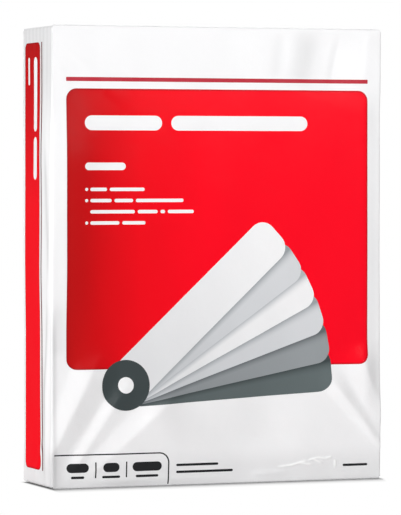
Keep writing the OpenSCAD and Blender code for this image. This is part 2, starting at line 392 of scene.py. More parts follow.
def set_back(s, z):
    """How far back along Y the paper lies about the right edge of the front. The stack inside
    has rounded edges, so the paper has sunk there, and the lower right folds stand forward."""
    past = around(s, WIDTH)
    across = np.where(past < 0, smoothstep(-13, -0.5, past), smoothstep(22, 0, past))
    sunk = SINK * across * plateau(36, 62, 225, 250, z)
    held = (1 - 0.5 * smoothstep(-12, 0, past)) * smoothstep(18, 0, past)
    return sunk - all_of(fold, RIGHT_FOLDS, s, z) * held * smoothstep(0, END_FADE, z)


def wrapper_relief(s, z):
    """All of the wrapper's relief, fading to nothing at the folds over both ends."""
    off_ends = plateau(0, END_FADE, TOP - END_FADE, TOP, z)
    front = all_of(fold, LEFT_FOLDS, s, z) + all_of(straight_ridge, FRONT_RIDGES, s, z)
    hidden = all_of(fan_of_ridges, HIDDEN_FANS, s, z) + straight_ridge(s, z, *HIDDEN_RIDGE)
    loose = front + crumple(s, z, 0.6, 0.8, 0.32) + all_of(side_ridge, SIDE_RIDGES, s, z) + hidden
    return (loose + slack(s, z) + roll_off(s)) * off_ends + seam(s)


sample_s, sample_z = np.meshgrid(np.linspace(0, GIRTH, 400), np.linspace(0, TOP, 200))
sample = wrapper_relief(sample_s, sample_z)
print(f"relief from {sample.min():.2f} to {sample.max():.2f} mm")

# %% [markdown]
# ## Where shade is painted on the wrapper
#
# The wrapper's white carries painted shade: below the folded ends, beside folds, round an edge,
# above the foot and along a lap. It is worked out here for every point of the sheet, as a number
# from 0 to 1 that the paper's colour reads later.

# %% Greyness
# Painted shade beside the side's long folds: start, end, widths left and right, strength
SIDE_SHADES = [
    ((9, 205), (2.5, 130), 2.6, 2.6, 0.75),
    ((6, 112), (13.5, 48), 2.6, 2.6, 0.75),
    ((13.5, 70), (15, 10), 3.0, 3.0, 0.75),
]


def side_painted_shade(s, z):
    """Painted shade of the printed narrow side: upright streaks below the folded top end, a shade
    above the base, and a soft shade beside each long fold."""
    streaks = 0.62 + 0.12 * np.sin(s * 0.9 + 0.4 * np.sin(z / 9))
    on_wall = 1 - 0.8 * smoothstep(TOP - 1.6, TOP - 0.8, z)
    grey = streaks * smoothstep(205, 262, z) * on_wall + 0.35 * smoothstep(30, 8, z)
    return grey + all_of(side_ridge, SIDE_SHADES, s, z)


def front_painted_shade(s, z):
    """Painted shade of the front: a line along its left edge up to the pinched place, a shade at
    the lower left corner and another at the pinch, and one beside the hollows at the top right."""
    by_edge = bump(around(s, 1.2), 1.5, 1.5) * (around(s, 0) > -0.5)
    grey = 0.6 * by_edge * smoothstep(112, 90, z)
    grey = grey + 0.35 * bump(around(s, 3), 7, 8) * smoothstep(26, 16, z)
    grey = grey + 0.3 * bump(around(s, 4), 5, 4) * plateau(78, 86, 104, 118, z)
    return grey + straight_ridge(s, z, (162, 244), (171.5, 278), 9.0, 9.0, 0.2)


def greyness(s, z):
    """How far painted shade darkens the wrapper, from 0 to 1: the two printed faces, a shade above
    the base of all but the narrow one, and thin lines at the very foot and at the free edge of the lap."""
    on_side = smoothstep(REAR_END_S - 6, REAR_END_S, s)
    # Painted shade above the base and at the very foot, and a painted line at the lap's edge
    foot = 0.3 * (1 - on_side) * smoothstep(24, 9, z) + 0.12 * bump(z, 2.5, 2.5)
    lap = 0.5 * bump(past_seam(s), 0.8, 0.8)
    return np.clip(on_side * side_painted_shade(s, z) + front_painted_shade(s, z) + foot + lap, 0, 1)


sample = greyness(sample_s, sample_z)
print(f"greyness up to {sample.max():.2f}, {sample.mean():.2f} on average")

# %% [markdown]
# ## The skin round the pack
#
# The skin is one closed grid. Its columns go round the pack and its rows go up: over the lower
# edge, up the walls and over the upper edge. Both are closest at the small crumple, close on the
# rest of the front and further apart behind. On an end, each row is the outline drawn in a
# little further, and one flat face closes the middle, under the flaps.

# %% Columns round the girth
EDGE_R = 1.3
ARC_STEPS = 6


def graded(stops, steps):
    """Points from each stop to the next, with about the step given for that stretch."""
    stretches = [np.linspace(a, b, max(2, round((b - a) / step) + 1))[:-1]
                 for a, b, step in zip(stops[:-1], stops[1:], steps)]
    return np.append(np.concatenate(stretches), stops[-1])


def girth_columns():
    """s, place and outward direction of every column, along each face and round the edge at its
    end. A face is its length, first corner, direction, places on it and steps between these."""
    seam_at = RIGHT - SEAM_EDGE
    faces = [
        (WIDTH, (LEFT, FRONT), (1, 0), [145, 189], [1.15, 0.45, 1.15]),
        (DEPTH, (RIGHT, FRONT), (0, 1), [], [2.2]),
        (WIDTH, (RIGHT, REAR), (-1, 0), [seam_at - 0.05, seam_at + 0.05, seam_at + 40], [3, 0.1, 2, 3]),
        (DEPTH, (LEFT, REAR), (0, -1), [], [1.3]),
    ]
    s, place, out = [], [], []
    start = 0.0
    for length, corner, run, cuts, steps in faces:
        corner, run, facing = np.array(corner), np.array(run, float), np.array([run[1], -run[0]], float)
        along = graded([EDGE_R, *cuts, length - EDGE_R], steps)
        turn = np.linspace(0, math.pi / 2, ARC_STEPS + 1)[1:-1, None]
        direction = facing * np.cos(turn) + run * np.sin(turn)
        centre = corner + run * (length - EDGE_R) - facing * EDGE_R
        s += [start + along, start + length + EDGE_R * (turn[:, 0] / (math.pi / 4) - 1)]
        place += [corner + along[:, None] * run, centre + EDGE_R * direction]
        out += [np.repeat(facing[None], len(along), 0), direction]
        start += length
    return np.concatenate(s), np.concatenate(place), np.concatenate(out)


column_s, column_place, column_out = girth_columns()
print("columns round the pack:", len(column_s))

# %% Rows over the ends and up the walls
FOLD_LOFT = 0.3
TUCK_R = 1.7
END_INSET = 24.0
ROLL_STEPS = 6


def skin_rows():
    """Height and inset of each row of the skin. The skin's ends lie two layers in from the
    pack's ends, because the flaps go over them."""
    low, high = 2 * FOLD_LOFT, TOP - 2 * FOLD_LOFT
    turn = np.linspace(0, math.pi / 2, ROLL_STEPS + 1)
    flat = graded([TUCK_R, END_INSET], [4.0])[1:]
    heights = [low + TUCK_R, 7, 16.5, 30, 80, 240, high - TUCK_R]
    wall = graded(heights, [0.8, 0.45, 0.85, 1.1, 1.8, 1.2])[1:-1]
    roll_z, roll_inset = TUCK_R * np.sin(turn), TUCK_R * (1 - np.cos(turn))
    z = np.concatenate([np.full(len(flat), low), (low + TUCK_R - roll_z)[::-1], wall,
                        high - TUCK_R + roll_z, np.full(len(flat), high)])
    inset = np.concatenate([flat[::-1], roll_inset[::-1], np.zeros(len(wall)), roll_inset, flat])
    return z, inset


row_z, row_inset = skin_rows()
print("rows of the skin:", len(row_z))


# %% Skin
def skin_points():
    """The skin's grid: a column's place drawn in by the row's inset, then pushed out by the
    relief, which is left off on the ends."""
    z, inset = row_z[:, None], row_inset[:, None]
    draw_x, draw_y = 1 - inset / (WIDTH / 2), 1 - inset / (DEPTH / 2)
    relief = wrapper_relief(column_s[None], z) * smoothstep(TUCK_R, 0, inset)
    x = column_place[None, :, 0] * draw_x + column_out[None, :, 0] * relief
    y = column_place[None, :, 1] * draw_y + column_out[None, :, 1] * relief + set_back(column_s[None], z)
    return np.stack([x, y, np.broadcast_to(z, x.shape)], axis=-1)


points = skin_points()
rows, columns = points.shape[:2]
lower_cap = tuple(range(columns - 1, -1, -1))
upper_cap = tuple(range((rows - 1) * columns, rows * columns))
wrapper_skin = add_mesh("wrapper_skin", points, grid_faces(rows, columns, True), [lower_cap, upper_cap])
skin_s, skin_z = column_s[None], row_z[:, None]
# Painted shade for every point of the skin, which the paper's colour reads
add_number(wrapper_skin, "greyness", greyness(skin_s, skin_z).ravel())
# A painted highlight along the crumple's creases, which the paper's colour reads
add_number(wrapper_skin, "creasing", creasing(skin_s, skin_z).ravel())
print("faces of the skin:", len(wrapper_skin.data.polygons))

# %% [markdown]
# ## The flaps over the ends
#
# At each end the narrow sides were tucked in first, which leaves the front and the rear with a
# flap whose sides run in at forty-five degrees. The rear flap goes over first and the front flap
# lies on top and is glued. A flap is a strip carried along a path: it starts just under the
# skin of its face, goes round the edge and runs in over the end. Its half width shrinks as it
# goes. Along its slanted sides the paper is folded back under itself, so these edges roll down.

# %% Flaps
FLAP_LENGTH, FLAP_R, FLAP_FOOT = 41.0, 1.4, 5.0
FLAP_SHEET, UNDER_SKIN = 0.14, 0.02
ROLL_IN, ROLL_REACH, BUCKLE = 0.28, 1.4, 0.07


def girth_place(x, facing):
    """s of a point on the front (facing -1) or on the rear (facing 1), from its x."""
    return x - LEFT if facing < 0 else REAR_S + RIGHT - x


def flap_path(lift):
    """Distance in from the face, and distance in from the end, along a flap's path. The free
    edge lifts a little at last."""
    foot = np.linspace(FLAP_FOOT, FLAP_R, 5)[:-1]
    turn = np.linspace(0, math.pi / 2, 8)
    run = np.linspace(FLAP_R, FLAP_LENGTH, 30)[1:]
    from_face = np.concatenate([np.zeros(len(foot)), FLAP_R * (1 - np.cos(turn)), run])
    curl = lift * smoothstep(0.75 * FLAP_LENGTH, FLAP_LENGTH, run)
    from_end = np.concatenate([foot, FLAP_R * (1 - np.sin(turn)), -curl])
    return from_face[:, None], from_end[:, None]


def flap_points(facing, up, level, lift):
    """Grid of one flap. facing is -1 for the front and 1 for the rear, up is 1 for the top and
    -1 for the base, and level is how far its surface lies in from the pack's end. The slanted
    sides roll inwards, and on the top the paper buckles a little."""
    from_face, from_end = flap_path(lift)
    over_end = smoothstep(0, 3, from_face)
    half = WIDTH / 2 - EDGE_R * 0.7 - from_face
    across = np.linspace(-1, 1, 141)[None]
    x = across * half
    roll_in = ROLL_IN * smoothstep(ROLL_REACH, 0, (1 - np.abs(across)) * half) * over_end
    buckle = BUCKLE * np.sin(x / 9 + 1) * np.sin(from_face / 7) * over_end if up > 0 else 0
    from_end = level + from_end + roll_in + buckle
    z = TOP - from_end if up > 0 else from_end
    relief = (wrapper_relief(girth_place(x, facing), z) - UNDER_SKIN) * smoothstep(FLAP_R, 0, from_face)
    y = facing * (DEPTH / 2 + relief - from_face)
    return np.stack([x, y, z], axis=-1)


def add_flap(name, facing, up, level, lift):
    """One flap as a thin sheet whose faces look out of the pack."""
    points = flap_points(facing, up, level, lift)
    if facing * up > 0:
        points = points[:, ::-1]
    both = np.stack([points, inner_side(points, FLAP_SHEET)])
    flap = add_mesh(name, both, sheet_faces(*points.shape[:2]))
    # The flaps carry the same painted shade, from their places on the sheet
    grey = greyness(girth_place(points[..., 0], facing), points[..., 2])
    add_number(flap, "greyness", np.tile(grey.ravel(), 2))
    return flap


flaps = [
    add_flap("flap_top_front", -1, 1, 0, 0.35),
    add_flap("flap_top_rear", 1, 1, FOLD_LOFT, 0),
    add_flap("flap_base_front", -1, -1, 0, 0),
    add_flap("flap_base_rear", 1, -1, FOLD_LOFT, 0),
]
print("flaps:", [flap.name for flap in flaps])

# %% [markdown]
# ## Print as thin films
#
# The printed fields could be painted on the wrapper by a shader, but then their edges would be
# only as sharp as a texture. Here each field is its own thin film that lies on the wrapper's
# relief, so its outline is geometry and every wrinkle runs on under the ink. Fields that overlap
# lie one over the other, a few hundredths of a millimetre apart.
#
# A field starts flat. A rounded rectangle is a grid whose rows are drawn in at both ends near the
# top and the bottom.

# %% Flat shapes
FINE = 1.1
CORNER_ROWS = 9


def rounded_patch(width, height, radius):
    """Grid of a rectangle with round corners: in the rows within a radius of an edge both ends
    are drawn in by radius minus the arc's half chord."""
    radius = min(radius, 0.499 * height, 0.499 * width)
    turn = np.linspace(0, math.pi / 2, CORNER_ROWS)
    low_b, low_in = radius * (1 - np.cos(turn)), radius * (1 - np.sin(turn))
    middle = graded([radius, height - radius], [FINE])[1:-1]
    b = np.concatenate([low_b, middle, height - low_b[::-1]])
    drawn_in = np.concatenate([low_in, np.zeros(len(middle)), low_in[::-1]])
    share = np.linspace(0, 1, max(8, round(width / FINE)))
    a = drawn_in[:, None] + share[None] * (width - 2 * drawn_in[:, None])
    return a, np.broadcast_to(b[:, None], a.shape)


def ring_patch(inner, outer):
    """Grid of a ring about the origin, closed in its columns: rows go from the rim inwards."""
    radius = np.linspace(outer, inner, max(2, round((outer - inner) / FINE) + 1))[:, None]
    turn = np.linspace(0, 2 * math.pi, 73)[:-1][None]
    return radius * np.cos(turn), radius * np.sin(turn)


def ribbon_patch(path, width):
    """Grid of a line of even width along a path of points, with mitred bends."""
    path = np.array(path, float)
    ahead = np.gradient(path, axis=0)
    ahead /= np.hypot(ahead[:, 0], ahead[:, 1])[:, None]
    side = np.stack([-ahead[:, 1], ahead[:, 0]], axis=-1)
    across = np.array([-0.5, 0.5])[:, None, None] * width
    line = path[None] + across * side[None]
    return line[:, :, 0], line[:, :, 1]


def from_edge(a, b, width, height, radius):
    """Distance inwards from the edge of a rectangle with round corners, at points of it."""
    beyond_a = np.abs(a - width / 2) - (width / 2 - radius)
    beyond_b = np.abs(b - height / 2) - (height / 2 - radius)
    corner = np.hypot(np.maximum(beyond_a, 0), np.maximum(beyond_b, 0))
    return radius - corner - np.minimum(np.maximum(beyond_a, beyond_b), 0)


def turned(a, b, place, degrees):
    """A flat shape turned about its origin and moved to a place."""
    c, s = math.cos(math.radians(degrees)), math.sin(math.radians(degrees))
    return place[0] + c * a - s * b, place[1] + s * a + c * b


print("flat shapes are ready")

# %% Films on the wrapper
FILM = 0.03
INK_LIFT = 0.05


def on_front(a, b, lift):
    """Points on the front, from distances to the right of its left edge and above the base."""
    return np.stack([LEFT + a, FRONT - wrapper_relief(a, b) + set_back(a, b) - lift, b], axis=-1)


def on_left(a, b, lift):
    """Points on the narrow side, from distances in front of its rear edge and above the base."""
    return np.stack([LEFT - wrapper_relief(REAR_END_S + a, b) - lift, REAR - a, b], axis=-1)


def add_film(name, shapes, surface=on_front, **numbers):
    """Joins flat shapes into one thin film on the wrapper. Each shape is (a, b, lift), with a
    fourth entry True for a ring. numbers are for the materials, each a list with an array for
    every shape."""
    points, faces, count = [], [], 0
    for a, b, lift, *ring in shapes:
        points += [surface(a, b, lift).reshape(-1, 3), surface(a, b, lift - FILM).reshape(-1, 3)]
        faces.append(sheet_faces(*a.shape, bool(ring)) + count)
        count += 2 * a.size
    film = add_mesh(name, np.concatenate(points), np.concatenate(faces))
    for number, arrays in numbers.items():
        add_number(film, number, np.concatenate([np.tile(array.ravel(), 2) for array in arrays]))
    return film


def film_between(name, node, radius, surface=on_front):
    """A film that fills a printed solid's box, with round corners."""
    low, high = box_mm(node)
    width, depth, height = high - low
    start = low[0] - LEFT
    if surface is on_left:
        start, width = REAR - high[1], depth
    a, b = rounded_patch(width, height, radius)
    return add_film(name, [(start + a, low[2] + b, INK_LIFT)], surface,
                    from_edge=[from_edge(a, b, width, height, radius)])


PANEL_R, SIDE_PANEL_R, RULE_R = 6.5, 4.5, 0.3
panel_film = film_between("panel_film", "front_panel_print", PANEL_R)
rule_film = film_between("rule_film", "front_rule_print", RULE_R)
side_film = film_between("side_film", "side_panel_print", SIDE_PANEL_R, on_left)
side_rule_film = film_between("side_rule_film", "side_rule_print", RULE_R, on_left)
print("films of the panels and rules are ready")

# %% [markdown]
# ## Bars for the lines of print
#
# The lines on the panel are plain bars and dots, as in a sketch of a layout. They are places
# where the white wrapper shows, so they take the wrapper's own finish. All of them hang from
# the panel's upper left corner.

# %% White bars and dots on the panels
BAR_LIFT = 0.075
LINE_INDENT = 11.7
HEADLINE_DROP, SECOND_DROP, LIST_DROP = 20.8, 26.4, 14.0
HEADLINE_H, SECOND_H, BAR_GAP = 9.0, 4.6, 6.0
LIST_PITCH, LIST_BAR_H, LIST_GAP, LIST_BAR_X, DOT = 6.8, 2.1, 1.8, 3.4, 2.0
panel_x = panel_low[0] - LEFT


def bar(x, z, length, height, lift=BAR_LIFT):
    """A bar with round ends that starts at x, with its middle at height z."""
    a, b = rounded_patch(length, height, height / 2)
    return x + a, z - height / 2 + b, lift


def bar_row(x, z, lengths, height, gap):
    """A row of bars with a gap between them."""
    starts = x + np.concatenate([[0], np.cumsum(np.array(lengths[:-1]) + gap)])
    return [bar(start, z, length, height) for start, length in zip(starts, lengths)]


def upright_bar(from_front, from_top, length, width):
    """A bar that runs up the narrow side, placed from the panel's front edge and the pack's top."""
    a, b = rounded_patch(length, width, width / 2)
    foot = (REAR - side_low[1] - from_front, TOP - from_top - length)
    return *turned(a, b - width / 2, foot, 90), BAR_LIFT


headline_z = panel_high[2] - HEADLINE_DROP
second_z = headline_z - SECOND_DROP
list_z = second_z - LIST_DROP
list_rows = [([11, 22.5], True), ([14, 12, 31], True), ([29, 13, 3, 17], False), ([19, 15], True)]
line_x = panel_x + LINE_INDENT
shapes = bar_row(line_x, headline_z, [50, 90], HEADLINE_H, BAR_GAP)
shapes += bar_row(line_x, second_z, [26.5], SECOND_H, BAR_GAP)
for row, (lengths, dot) in enumerate(list_rows):
    z = list_z - row * LIST_PITCH
    shapes += bar_row(line_x + LIST_BAR_X, z, lengths, LIST_BAR_H, LIST_GAP)
    # A dot is a bar that is barely longer than high
    shapes += [bar(line_x, z, DOT, 0.98 * DOT)] if dot else []
front_lines = add_film("front_lines", shapes)

side_bars = [(8.9, 18.9, 45.5, 6.4), (8.9, 67.8, 26, 6.4), (21.9, 18.9, 17, 2.8)]
side_lines = add_film("side_lines", [upright_bar(*sizes) for sizes in side_bars], on_left)
print("bars on the front:", len(shapes), "and on the side:", len(side_bars))

# %% [markdown]
# ## A fan of strips
#
# The lower part of the panel carries a plain drawing: a fan of rounded strips about a hub, in
# white and greys. Each strip is the same patch, turned a step further and laid on the one before.
# Two attributes go with every point of a strip: how far it is from the edge of the strip that
# covers it, for the soft printed shadow there, and how far along the strip it lies.

# %% Strips and hub
STRIP_W, STRIP_R, STRIP_STEP, LOWEST_TURN = 27.0, 9.0, 8.0, 3.0
STRIP_MARGIN = 24.5
HUB_DROP, HUB_FROM_LEFT, HUB_RIM, HUB_HOLE, HOLE_LAP = 10.0, 38.0, 2.0, 5.0, 0.5
STRIP_LIFT, LAYER = 0.08, 0.012
UNCOVERED = 50.0
hub = (panel_x + HUB_FROM_LEFT, panel_low[2] - HUB_DROP)
strip_reach = panel_high[0] - panel_low[0] - HUB_FROM_LEFT - STRIP_MARGIN
tones = ["slate", "grey", "pale", "white", "pale", "white"]


def strip_shape(i):
    """Strip number i of the fan, as a film shape."""
    a, b = rounded_patch(strip_reach, STRIP_W, STRIP_R)
    a, b = turned(a, b - STRIP_W / 2, hub, LOWEST_TURN + i * STRIP_STEP)
    return a, b, STRIP_LIFT + i * LAYER


def add_strips(tone):
    """All strips of one tone as a film, with the two numbers that shade them."""
    places = [i for i, name in enumerate(tones) if name == tone]
    shapes = [strip_shape(i) for i in places]
    cover, along = [], []
    for i, (a, b, lift) in zip(places, shapes):
        turn = math.radians(LOWEST_TURN + (i + 1) * STRIP_STEP)
        da, db = a - hub[0], b - hub[1]
        below = da * math.sin(turn) - db * math.cos(turn) - STRIP_W / 2
        cover.append(below if i < len(tones) - 1 else np.full(a.shape, UNCOVERED))
        along.append(np.hypot(da, db) / strip_reach)
    return add_film(f"fan_{tone}_film", shapes, from_cover=cover, along=along)


strip_films = {tone: add_strips(tone) for tone in ["slate", "grey", "pale", "white"]}
hub_lift = STRIP_LIFT + len(tones) * LAYER
hub_a, hub_b = ring_patch(HUB_HOLE, STRIP_W / 2 + HUB_RIM)
hub_film = add_film("hub_film", [(hub[0] + hub_a, hub[1] + hub_b, hub_lift + LAYER, True)])
hole_r = HUB_HOLE + HOLE_LAP
hole_a, hole_b = rounded_patch(2 * hole_r, 2 * hole_r, hole_r)
hole_film = add_film("hole_film", [(hub[0] - hole_r + hole_a, hub[1] - hole_r + hole_b, hub_lift)])
print("fan reaches", round(strip_reach, 1), "mm from its hub")

# %% [markdown]
# ## The label at the foot
#
# A thin line with one round corner sets off the lower left corner of the front. Inside stand
# three cells with a thick bar over a thin one and short dividing lines between them, and thin
# bars follow to the right. All of it is near black.

# %% Label
LABEL_W, LABEL_H, LABEL_R, LABEL_LINE = 75.2, 21.0, 6.6, 0.8
LARGE_Z, LARGE_H, SMALL_Z, SMALL_H = 12.6, 5.6, 6.8, 1.5
DIVIDER_Z, DIVIDER_H = 6.3, 9.6


def label_border():
    """Points of the label's line: along its top from the pack's edge, round the corner and down."""
    top, right, bend = LABEL_H - LABEL_LINE / 2, LABEL_W - LABEL_LINE / 2, LABEL_R - LABEL_LINE / 2
    turn = np.linspace(math.pi / 2, 0, 12)
    along = np.linspace(EDGE_R, LABEL_W - LABEL_R, 60)[:-1]
    down = np.linspace(LABEL_H - LABEL_R, EDGE_R, 15)[1:]
    a = np.concatenate([along, LABEL_W - LABEL_R + bend * np.cos(turn), np.full(len(down), right)])
    b = np.concatenate([np.full(len(along), top), LABEL_H - LABEL_R + bend * np.sin(turn), down])
    return np.stack([a, b], axis=-1)


border_a, border_b = ribbon_patch(label_border(), LABEL_LINE)
shapes = [(border_a, border_b, INK_LIFT)]
for x in (27.6, 47.3):
    a, b = rounded_patch(LABEL_LINE, DIVIDER_H, 0.05)
    shapes.append((x - LABEL_LINE / 2 + a, DIVIDER_Z + b, INK_LIFT))
for x, large, small in [(9.3, 13.9, 8.4), (32.2, 10.5, 11.5), (51.2, 19.1, 14.8)]:
    shapes.append(bar(x, LARGE_Z, large, LARGE_H, INK_LIFT))
    shapes.append(bar(x + (large - small) / 2, SMALL_Z, small, SMALL_H, INK_LIFT))
last_bar = 16.8
last_x = panel_high[0] - LEFT - last_bar
for x, z, length in [(79.8, 12.8, 27.9), (79.8, 8.5, 37.7), (last_x, 9.4, last_bar)]:
    shapes.append(bar(x, z, length, SMALL_H, INK_LIFT))
label_film = add_film("label_film", shapes)
print("marks of the label:", len(shapes))

# %% [markdown]
# ## Materials: one laminated paper, several inks
#
# The wrapper is paper with a clear plastic film on it. The paper scatters light softly; the film
# adds a thin, fairly sharp gloss on top. So every material here is the same stack: a matt base,
# with a coat whose roughness is that of the film. The paper's grain is too fine to show, so it
# is drawn at about half a millimetre. Paper and film share a slow unevenness of a centimetre or
# so, which makes a reflection wander. Both read the object's own coordinates, so they run on
# from the wrapper to the ink without a break.

# %% Material helpers
def colour(hex_code):
    """An sRGB hex value as linear red, green, blue and alpha."""
    srgb = np.array([int(hex_code[i:i + 2], 16) for i in (1, 3, 5)]) / 255
    linear = np.where(srgb <= 0.04045, srgb / 12.92, ((srgb + 0.055) / 1.055) ** 2.4)
    return (*linear, 1.0)


def set_stops(band, stops):
    """Gives a colour ramp its (place, hex colour) stops."""
    while len(band.elements) < len(stops):
        band.elements.new(0.5)
    for element, (place, hex_code) in zip(band.elements, stops):
        element.position = place
        element.color = colour(hex_code)


def add_node(tree, kind, settings=None, links=None):
    """A shader node. settings are its properties, its input values and, under stops, its colour
    ramp. links say where an input comes from: an output, a node whose first output is meant, or
    the name of a number that the mesh holds for its points."""
    node = tree.nodes.new("ShaderNode" + kind)
    for name, value in (settings or {}).items():
        if name == "stops":
            set_stops(node.color_ramp, value)
        elif isinstance(name, str) and hasattr(node, name):
            setattr(node, name, value)
        else:
            node.inputs[name].default_value = value
    for name, source in (links or {}).items():
        if isinstance(source, str):
            source = add_node(tree, "Attribute", {"attribute_name": source}).outputs["Fac"]
        elif isinstance(source, bpy.types.Node):
            source = source.outputs[0]
        tree.links.new(source, node.inputs[name])
    return node


def empty_tree(owner):
    """The node tree of a material or a world, with nothing in it."""
    owner.use_nodes = True
    owner.node_tree.nodes.clear()
    return owner.node_tree


print("material helpers are ready")

# %% Laminated paper
GRAINS_PER_MM = 1.8
WAVES_PER_MM = 0.085


def laminated_paper(name, base, paint=None, gloss=0.2):
    """Laminated paper. base is its colour as a whole, and paint, if given, is a function that
    takes the node tree and the coordinates and returns the output that gives the colour in
    detail. gloss is how much of the film's shine it has."""
    material = bpy.data.materials.new(name)
    tree = empty_tree(material)
    place = add_node(tree, "TexCoord").outputs["Object"]
    grain = add_node(tree, "TexNoise", {"Scale": GRAINS_PER_MM / MM, "Detail": 2.0}, {"Vector": place})
    uneven = add_node(tree, "TexNoise", {"Scale": WAVES_PER_MM / MM, "Detail": 3.0, "Roughness": 0.6},
                      {"Vector": place})
    slow = add_node(tree, "Bump", {"Strength": 0.35, "Distance": 0.6 * MM}, {"Height": uneven})
    fine = add_node(tree, "Bump", {"Strength": 0.25, "Distance": 0.04 * MM},
                    {"Height": grain, "Normal": slow})
    shader = add_node(tree, "BsdfPrincipled", {
        "Base Color": colour(base), "Roughness": 0.6, "IOR": 1.5, "Specular IOR Level": 0.0,
        "Coat Weight": gloss, "Coat Roughness": 0.22, "Coat IOR": 1.5,
    }, {"Normal": fine, "Coat Normal": slow})
    if paint:
        tree.links.new(paint(tree, place), shader.inputs["Base Color"])
    add_node(tree, "OutputMaterial", links={"Surface": shader})
    return material


print(f"grain of {1 / GRAINS_PER_MM:.1f} mm, unevenness of {1 / WAVES_PER_MM:.0f} mm")

# %% [markdown]
# ## Colours
#
# The large panel isn't one red: it was printed with a blend, deep at its left edge and bright
# from about a quarter of its width on. The panel on the narrow side is deep at the top and bright
# further down. The blends run along the object's own axes, in real distances. Ink is squeezed out
# a little at the edge of a printed field, where it dries darker.
#
# The strips of the fan darken softly where the next strip lies over them.

# %% Paints
INK_RIM = "#8a1018"
# In a Mix node for colours, sockets 6 and 7 are the two colours and output 2 is the mixed one
MIX_A, MIX_B, MIX_OUT = 6, 7, 2


def blend_along(axis, start, end, stops):
    """A paint that runs through colour stops from one place on an axis to another, in mm, with
    a darker rim."""
    def paint(tree, place):
        parts = add_node(tree, "SeparateXYZ", links={"Vector": place})
        share = add_node(tree, "MapRange", {"From Min": start * MM, "From Max": end * MM},
                         {"Value": parts.outputs[axis]})
        blend = add_node(tree, "ValToRGB", {"stops": stops}, {"Fac": share})
        rim = add_node(tree, "MapRange", {"From Min": 1.4, "From Max": 0.3, "To Max": 0.6},
                       {"Value": "from_edge"})
        return add_node(tree, "Mix", {"data_type": "RGBA", MIX_B: colour(INK_RIM)},
                        {0: rim, MIX_A: blend}).outputs[MIX_OUT]
    return paint


def wrapper_paint(tree, place):
    """White paper, darker by painted shade and whitest by a painted highlight on the creases."""
    plain = add_node(tree, "ValToRGB", {"stops": [(0.0, "#f3f3f4"), (1.0, "#d2d2d3")]}, {"Fac": "greyness"})
    # Pure white where the painted crease highlight lies
    return add_node(tree, "Mix", {"data_type": "RGBA", MIX_B: colour("#ffffff")},
                    {0: "creasing", MIX_A: plain}).outputs[MIX_OUT]


def strip_paint(base, shade):
    """A printed strip: shaded in the strip's own tone where the next strip covers it, over
    about six millimetres, and a little darker towards the hub."""
    def paint(tree, place):
        near = add_node(tree, "MapRange", {"From Min": 6.5, "From Max": 0.0}, {"Value": "from_cover"})
        near = add_node(tree, "Math", {"operation": "POWER", 1: 2.2}, {0: near})
        inner = add_node(tree, "MapRange", {"From Min": 0.9, "From Max": 0.1, "To Max": 0.35},
                         {"Value": "along"})
        most = add_node(tree, "Math", {"operation": "MAXIMUM"}, {0: near, 1: inner})
        return add_node(tree, "ValToRGB", {"stops": [(0.0, base), (1.0, shade)]}, {"Fac": most}).outputs[0]
    return paint


print("paints are ready")

# %% Materials of the pieces
PANEL_BLEND = [(0.0, "#b61112"), (0.1, "#d00a12"), (0.24, "#ee0819"), (0.46, "#fb061f"), (1.0, "#fb0822")]
SIDE_BLEND = [(0.0, "#f60018"), (0.62, "#f20016"), (0.85, "#cc0410"), (1.0, "#b00808")]
STRIP_INKS = {
    "slate": ("slate ink", "#5c6666", "#626c6d", "#3e4647"),
    "grey": ("middle grey ink", "#8f9497", "#979c9f", "#62686b"),
    "pale": ("pale grey ink", "#d6d8db", "#d6d8db", "#9a9fa3"),
    "white": ("white with a grey shade", "#f2f2f3", "#f3f3f4", "#b4b8bc"),
}
panel_paint = blend_along("X", panel_low[0], panel_high[0], PANEL_BLEND)
side_paint = blend_along("Z", side_low[2], side_high[2], SIDE_BLEND)
paper = laminated_paper("white laminated paper", "#f3f3f4", wrapper_paint)
materials = {
    panel_film: laminated_paper("bright red ink", "#f41a28", panel_paint, 0.14),
    side_film: laminated_paper("red ink of the narrow side", "#e81c28", side_paint, 0.07),
    rule_film: laminated_paper("dark red ink", "#b82c3b"),
    side_rule_film: laminated_paper("darker red ink", "#661a20"),
}
for tone, (name, plain, base, shade) in STRIP_INKS.items():
    materials[strip_films[tone]] = laminated_paper(name, plain, strip_paint(base, shade))
materials[label_film] = laminated_paper("near-black ink", "#222325")
materials[hub_film] = materials[strip_films["slate"]]
for piece in [wrapper_skin, front_lines, side_lines, hole_film, *flaps]:
    materials[piece] = paper
for piece, material in materials.items():
    piece.data.materials.append(material)
print("materials:", sorted({material.name for material in materials.values()}))

# %% [markdown]
# ## Joining the pieces to the frame
#
# Nothing moves, so every piece rides on the one body. Each film stands for the printed solid that
# it follows, and the skin stands for the pack.

# %% Bodies and solids
roles = [
    (wrapper_skin, "wrapper", ["sealed_pack"]),
    (panel_film, "red_print", ["front_panel_print"]),
    (rule_film, "dark_red_print", ["front_rule_print"]),
    (side_film, "red_print", ["side_panel_print"]),
    (side_rule_film, "dark_red_print", ["side_rule_print"]),
    (strip_films["slate"], "slate_print", ["fan_slate_print"]),
    (strip_films["grey"], "grey_print", ["fan_grey_print"]),
    (strip_films["pale"], "pale_print", ["fan_pale_print"]),
    (hub_film, "slate_print", []),
    (label_film, "black_print", ["label_print"]),
]
plain_pieces = [strip_films["white"], hole_film, front_lines, side_lines, *flaps]
roles += [(piece, "wrapper", []) for piece in plain_pieces]
for piece, slot, solids in roles:
    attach(piece, "root")
    if solids:
        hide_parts(*solids)
print("pieces:", len(roles))

# %% [markdown]
# ## Floor and world
#
# The picture's ground is plain white, with a short shadow at the pack's foot. So the floor is
# white to the camera, and shows its own shading, as matt paint, only near the foot. The share
# that shows falls off slowly in front and quickly at the other sides, and two slanted edges end
# it at the front right and the rear left corner. The world is as white to the camera, and lights
# the pack only dimly.

